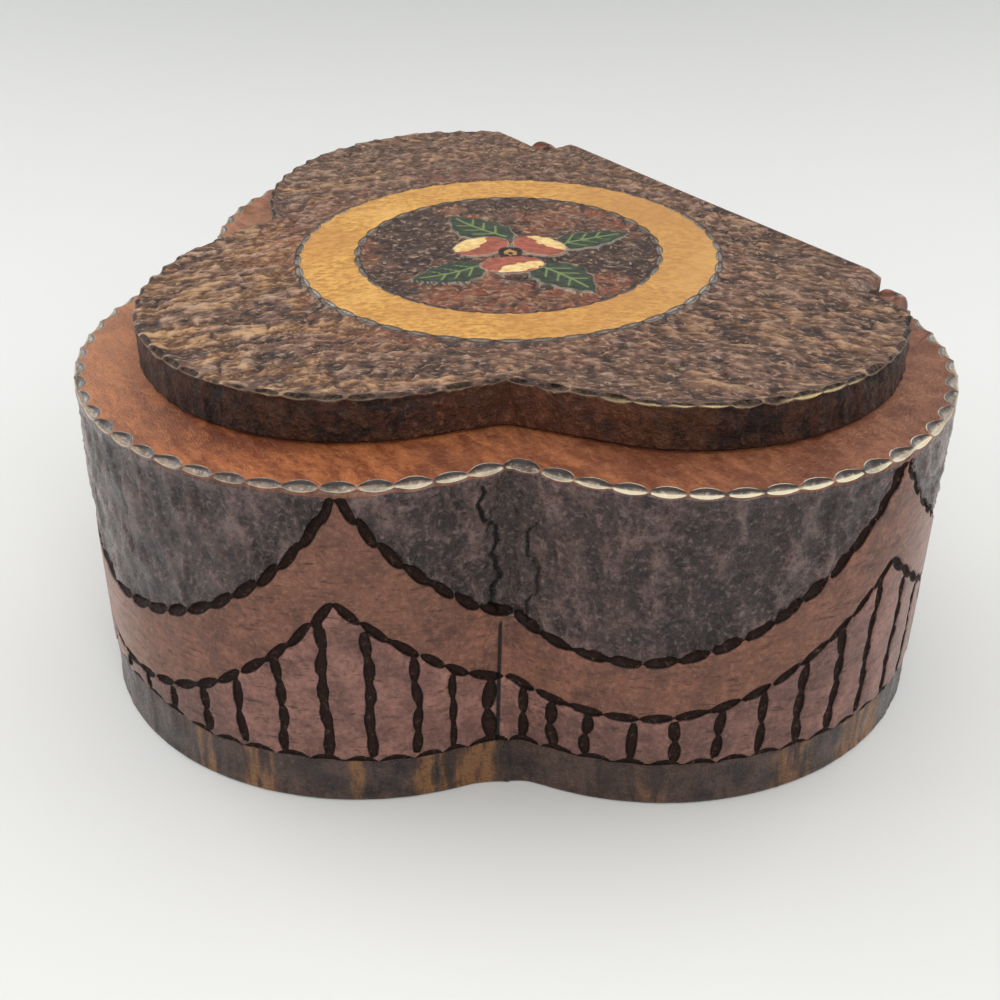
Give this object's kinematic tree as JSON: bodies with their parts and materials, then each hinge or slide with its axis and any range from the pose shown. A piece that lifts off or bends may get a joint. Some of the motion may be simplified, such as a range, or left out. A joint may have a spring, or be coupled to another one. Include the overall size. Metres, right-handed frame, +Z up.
{
  "type": "carved trefoil trinket box with hinged lid",
  "caption": "Hand-carved wooden trinket box, a three-lobed clover plan with a straight hinge side, hollow, with a board lid that opens backwards.",
  "frame": {"origin": "centre of the plan's bounding box, on the underside", "axes": "+Z up, +Y towards the straight hinge side, so the front lobe points to -Y and the side lobes to +X and -X"},
  "size_m": [0.1439, 0.1188, 0.0608],
  "materials": {
    "box": "stained brown wood with a gouged upper band, smooth red-brown bands and rim, satin varnish",
    "lid": "dark stained wood with a hammered gouge texture, a varnished yellow ring and a small painted flower"
  },
  "bodies": {
    "box": {"box_body": "box"},
    "lid": {"lid": "lid"}
  },
  "joints": [
    {"name": "lid_hinge", "type": "hinge", "parent": "box", "child": "lid", "pos_m": [0.0007, 0.0497, 0.0572], "axis": [-1, 0, 0], "range_deg": [0, 98]}
  ]
}
